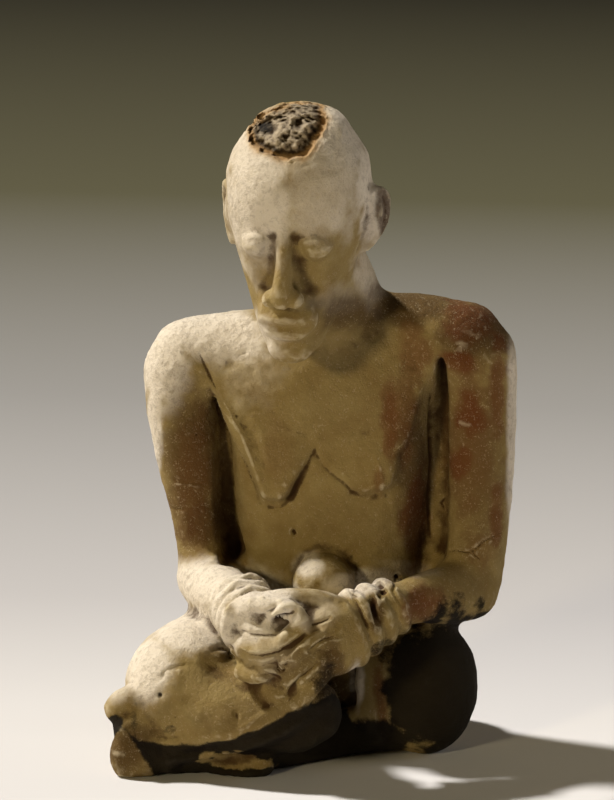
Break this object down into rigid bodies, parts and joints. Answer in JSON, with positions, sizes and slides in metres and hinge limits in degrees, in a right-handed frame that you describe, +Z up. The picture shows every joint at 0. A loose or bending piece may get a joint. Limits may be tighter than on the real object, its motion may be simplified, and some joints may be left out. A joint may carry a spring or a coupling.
{
  "type": "terracotta seated figure",
  "caption": "Cross-legged seated figure in fired clay, head bowed, hands clasped over the shin, stacked bangles on both wrists and a broken crown.",
  "frame": {"origin": "centre of the figure's footprint box, on the surface it sits on", "axes": "+Z up, -Y the way the figure faces, +X the figure's left hand side"},
  "size_m": [0.2624, 0.2092, 0.445],
  "materials": {
    "terracotta": "matte fired clay with a worn pale slip, iron-red patches and a dark soiled underside"
  },
  "bodies": {
    "root": {"terracotta_figure": "terracotta"}
  },
  "joints": []
}
